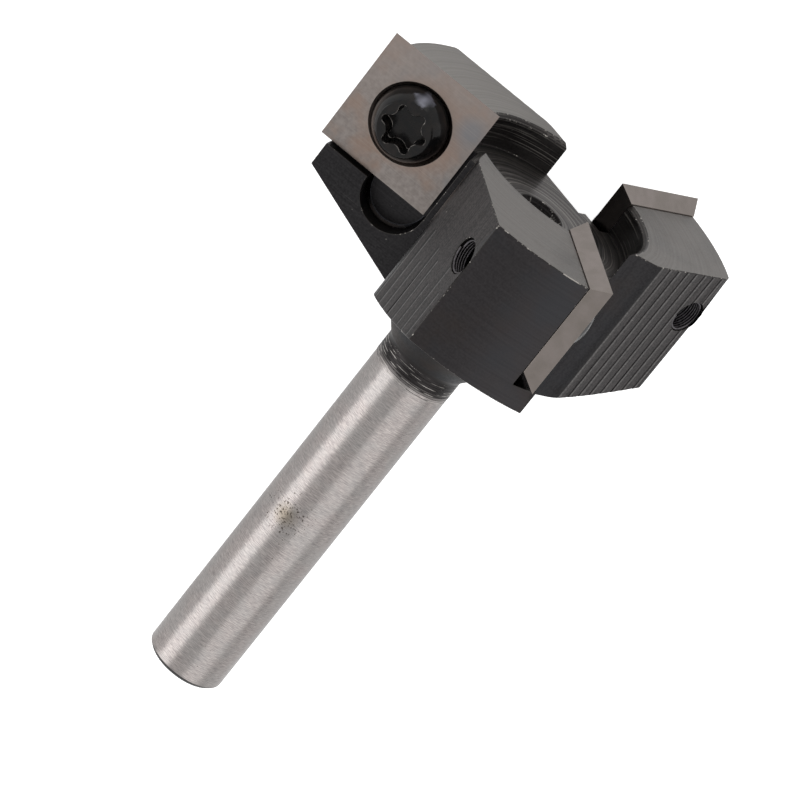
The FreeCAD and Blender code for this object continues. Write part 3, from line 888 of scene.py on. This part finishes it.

# %% [markdown]
# ## Oiled screws
# The screws are black and were put in with oil. What the eye gets is the oil and not the
# steel: a dark glossy skin with small ripples, and one painted highlight on the first screw.
# So the shader is no bare metal, but a dark plain one with a gloss.

# %% Oiled black screw
# painted highlight: a light bluish patch near the upper rim of the first screw's head
HIGHLIGHT_PATCH = Vector((14.25, 1.45, -2.7))
material, tree = new_material("oiled_black_screw_with_painted_highlight")
tint = laid_over(tree, "#0d0d0e", "#1c1816", clouds(tree, 0.9, 5.0), 0.4, 0.7)
# tint of the painted highlight, with a soft uneven edge
painted_highlight = laid_over(tree, "#2b2b31", "#72727c", clouds(tree, 1.5, 2.0, 1.0), 0.35, 0.6)
highlight_reach = add(tree, "Math", {0: clouds(tree, 1.2, 4.0), 1: 2.0, 2: distance_from(tree, HIGHLIGHT_PATCH)},
             operation="MULTIPLY_ADD")
tint = laid_over(tree, tint, painted_highlight, highlight_reach.outputs[0], 1.6, 2.05, 1.0, 0.0)
film = add(tree, "MapRange", {0: clouds(tree, 0.6), 1: 0.35, 2: 0.65, 3: 0.1, 4: 0.22})
ripple = add(tree, "Bump", {"Height": clouds(tree, 0.5, 9.0, 1.0), "Distance": 0.012 * MM,
                            "Strength": 1.0})
shader = add(tree, "BsdfPrincipled", {"Base Color": tint, "Metallic": 0.0,
                                      "Roughness": film.outputs[0], "Specular IOR Level": 0.22,
                                      "Normal": ripple.outputs[0]})
add(tree, "OutputMaterial", {"Surface": shader.outputs[0]})
oil_and_highlight = material
print("nodes in the oiled screw:", len(tree.nodes))

# %% Rubbed edges of a screw
# the driver wears the edges of the socket and the head to grey
material, tree = new_material("rubbed_screw_edge")
tint = laid_over(tree, "#1f1d1d", "#6f6b68", clouds(tree, 0.7, 5.0), 0.45, 0.62)
rubbed_screw = metal(material, tree, tint, 0.3, clouds(tree, 0.3), 0.002)
for screw in screws:
    for slot, look in enumerate((oil_and_highlight, rubbed_screw)):
        screw.data.materials[slot] = look
print("finishes on a screw:", [look.name for look in screws[0].data.materials])

# %% [markdown]
# ## Threads and turning lines
# A thread and the feed lines of a lathe are one form: a ridge that climbs round an axis.
# A node group sweeps a small ridge along a spiral, and its inputs make of it the thread of
# a screw, the thread of a hole or the fine lines where the black coat ends at the neck.

# %% Node group for a ridge round an axis
def ridge_group():
    group = bpy.data.node_groups.new("spiral_ridge", "GeometryNodeTree")
    for name, kind in (("Radius", "Float"), ("Pitch", "Float"), ("Turns", "Float"),
                       ("Height", "Float"), ("Finish", "Material")):
        group.interface.new_socket(name, in_out="INPUT", socket_type="NodeSocket" + kind)
    group.interface.new_socket("Geometry", in_out="OUTPUT", socket_type="NodeSocketGeometry")
    given = add(group, "NodeGroupInput").outputs
    climb = add(group, "Math", {0: given["Pitch"], 1: given["Turns"]}, operation="MULTIPLY").outputs[0]
    path = add(group, "GeometryNodeCurveSpiral", {
        "Resolution": 72, "Rotations": given["Turns"], "Start Radius": given["Radius"],
        "End Radius": given["Radius"], "Height": climb})
    level = add(group, "GeometryNodeSetCurveNormal", {"Curve": path.outputs[0]}, mode="Z_UP")
    section = add(group, "GeometryNodeCurvePrimitiveCircle", {"Resolution": 4, "Radius": given["Height"]})
    swept = add(group, "GeometryNodeCurveToMesh", {
        "Curve": level.outputs[0], "Profile Curve": section.outputs[0], "Fill Caps": True})
    real = add(group, "GeometryNodeRealizeInstances", {"Geometry": swept.outputs[0]})
    painted = add(group, "GeometryNodeSetMaterial", {
        "Geometry": real.outputs[0], "Material": given["Finish"]})
    add(group, "NodeGroupOutput", {"Geometry": painted.outputs[0]})
    return group


ridge = ridge_group()
print("inputs of a ridge:", [item.name for item in ridge.interface.items_tree if item.in_out == "INPUT"])


# %% Sweep a ridge
def sweep_ridge(name, start, along, values):
    """Ridge that climbs from a start along a direction of the tool frame, in millimetres."""
    piece = bpy.data.objects.new(name, bpy.data.meshes.new(name))
    bpy.context.scene.collection.objects.link(piece)
    nodes = piece.modifiers.new("ridge", "NODES")
    nodes.node_group = ridge
    for item in ridge.interface.items_tree:
        if item.in_out == "INPUT":
            nodes[item.identifier] = values[item.name]
    settle(piece)
    place = along.to_track_quat("Z", "Y").to_matrix().to_4x4()
    place.translation = start * MM
    piece.data.transform(tool @ place)
    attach(piece, "root")
    return len(piece.data.polygons)


def ridge_sizes(radius, pitch, turns, height, finish):
    """Inputs of the node group, from sizes in millimetres."""
    return {"Radius": radius * MM, "Pitch": pitch * MM, "Turns": float(turns), "Height": height * MM,
            "Finish": finish}


# %% Turning lines at the neck
# spot where a cloth or a hand rubbed the lines most
RUBBED_SPOT = Vector((2.6, 3.0, -23.9))
LINES_START = -24.75
material, tree = new_material("half_blackened_ridge")
place = add(tree, "TexCoord")
# each turn wore in its own places, so the pattern is short along the axis
turned = add(tree, "Mapping", {"Vector": place.outputs["Object"], "Rotation": tool.to_euler(),
                               "Scale": (1.8 * MM, 1.8 * MM, 0.25 * MM)}, vector_type="TEXTURE")
patches = add(tree, "TexNoise", {"Vector": turned.outputs[0], "Scale": 1.0, "Detail": 2.0})
more = add(tree, "MapRange", {0: distance_from(tree, RUBBED_SPOT), 1: 1.0, 2: 5.0, 3: 0.1, 4: 0.0})
worn = add(tree, "Math", {0: patches.outputs[0], 1: more.outputs[0]}, operation="ADD")
tint = laid_over(tree, "#232121", "#cdc8c3", worn.outputs[0], 0.53, 0.62)
half_black = metal(material, tree, tint, 0.3, clouds(tree, 0.3), 0.002)
neck_sizes = ridge_sizes(radius=3.99, pitch=0.3, turns=7.5, height=0.035, finish=half_black)
print("faces of the neck's lines:",
      sweep_ridge("neck_feed_lines", UP * LINES_START, UP, neck_sizes))

# %% Threads of the screws and their holes
screw_sizes = ridge_sizes(radius=1.62, pitch=0.7, turns=8.5, height=0.11, finish=oil_and_highlight)
# the wall between a hole and the outside is thin, so the ridge stays within the hole's radius
HOLE_RIDGE = 0.14
IN_FROM_BACK = 0.15
# the deep turns of two tapped holes are packed with black dust
CLEAN_TURNS = (4.2, 4.2, 8.5)
thread_faces = 0
for n in range(ARMS):
    seat = arm_out(n) * SCREW_OUT + UP * SCREW_DOWN
    thread_faces += sweep_ridge(f"screw_thread_{n + 1}", seat + arm_across(n) * (RAKE - THREAD_LENGTH),
                                arm_across(n), screw_sizes)
    hole_sizes = ridge_sizes(radius=TAP_R - HOLE_RIDGE, pitch=0.25, turns=CLEAN_TURNS[n],
                             height=HOLE_RIDGE, finish=looks["chamfer"])
    thread_faces += sweep_ridge(f"tapped_hole_{n + 1}", seat + arm_across(n) * (ARM_BACK + IN_FROM_BACK),
                                arm_across(n), hole_sizes)
print("faces of all threads:", thread_faces)

# %% [markdown]
# ## Floor, light and camera
# The bit lies on white paper in a plain studio: an even white room and three soft boxes.
# Round bright steel shows each box as a band along it, so the boxes stand where the bands
# of the shank ask for them. White comes from what the camera sees of paper and room, and
# not from more light on the bit.

# %% White paper
FLOOR_HALF = 3.0
CORNERS = [(-FLOOR_HALF, -FLOOR_HALF, 0), (FLOOR_HALF, -FLOOR_HALF, 0),
           (FLOOR_HALF, FLOOR_HALF, 0), (-FLOOR_HALF, FLOOR_HALF, 0)]
floor_mesh = bpy.data.meshes.new("floor")
floor_mesh.from_pydata(CORNERS, [], [(0, 1, 2, 3)])
floor = bpy.data.objects.new("floor", floor_mesh)
bpy.context.scene.collection.objects.link(floor)
paper, tree = new_material("white_paper")
path = add(tree, "LightPath")
# the camera sees white paper, metal sees a quarter of that glow, and other light sees none
seen = add(tree, "Math", {0: path.outputs["Is Glossy Ray"], 1: 0.25, 2: path.outputs["Is Camera Ray"]},
           operation="MULTIPLY_ADD", use_clamp=True)
lit = add(tree, "BsdfDiffuse", {"Color": (0.8, 0.8, 0.8, 1)})
glow = add(tree, "Emission", {"Color": (1, 1, 1, 1), "Strength": 0.8})
both = add(tree, "AddShader", {0: lit.outputs[0], 1: glow.outputs[0]})
mixed = add(tree, "MixShader", {0: seen.outputs[0], 1: lit.outputs[0], 2: both.outputs[0]})
add(tree, "OutputMaterial", {"Surface": mixed.outputs[0]})
floor_mesh.materials.append(paper)
print("paper is", 2 * FLOOR_HALF, "m wide")

# %% Even white room
ROOM_LIGHT = 0.9
SEEN_AS_WHITE = 1.0
world = bpy.data.worlds.new("studio")
bpy.context.scene.world = world
world.use_nodes = True
tree = world.node_tree
tree.nodes.clear()
path = add(tree, "LightPath")
strength = add(tree, "MapRange", {0: path.outputs["Is Camera Ray"], 3: ROOM_LIGHT, 4: SEEN_AS_WHITE})
sky = add(tree, "Background", {"Color": (1, 1, 1, 1), "Strength": strength.outputs[0]})
add(tree, "OutputWorld", {"Surface": sky.outputs[0]})
print("room light", ROOM_LIGHT)

# %% Soft boxes
# place and size in metres, and brightness beside that of white paper in the room
SOFT_BOXES = {
    "left_box": ((-0.27, 0.508, 0.19), (0.48, 0.36), 1.65),
    "right_box": ((-0.316, -0.31, 0.41), (0.48, 0.46), 0.7),
    "front_box": ((0.56, 0.1, 0.2), (0.4, 0.3), 0.8),
}
BIT_MIDDLE = Vector((0, 0, 0.01))
for name, (place, size, brightness) in SOFT_BOXES.items():
    lamp = bpy.data.lights.new(name, "AREA")
    lamp.shape = "RECTANGLE"
    lamp.size, lamp.size_y = size
    lamp.energy = brightness * math.pi * size[0] * size[1]
    box = bpy.data.objects.new(name, lamp)
    bpy.context.scene.collection.objects.link(box)
    box.location = place
    box.rotation_euler = (BIT_MIDDLE - Vector(place)).to_track_quat("-Z", "Y").to_euler()
print("soft boxes:", list(SOFT_BOXES))

# %% Camera, placed in the tool frame
# fitted to the corners of the insert that faces it, in millimetres
EYE = Vector((-19.908, 424.478, 147.489))
AIM = Vector((-0.68, 0.866, -27.176))
PICTURE_UP = Vector((0.63423, -0.26994, 0.72449))
LENS = 224.72
lens = bpy.data.cameras.new("camera")
lens.lens = LENS
lens.clip_start = 0.01
camera = bpy.data.objects.new("camera", lens)
bpy.context.scene.collection.objects.link(camera)
back = (EYE - AIM).normalized()
right = PICTURE_UP.cross(back).normalized()
look = Matrix((right, back.cross(right), back)).transposed()
camera.location = tool @ (EYE * MM)
camera.rotation_euler = (tool.to_3x3() @ look).to_euler()
bpy.context.scene.camera = camera
bpy.context.scene.view_settings.view_transform = "Standard"
print("camera stands", round((EYE - AIM).length), "mm away")
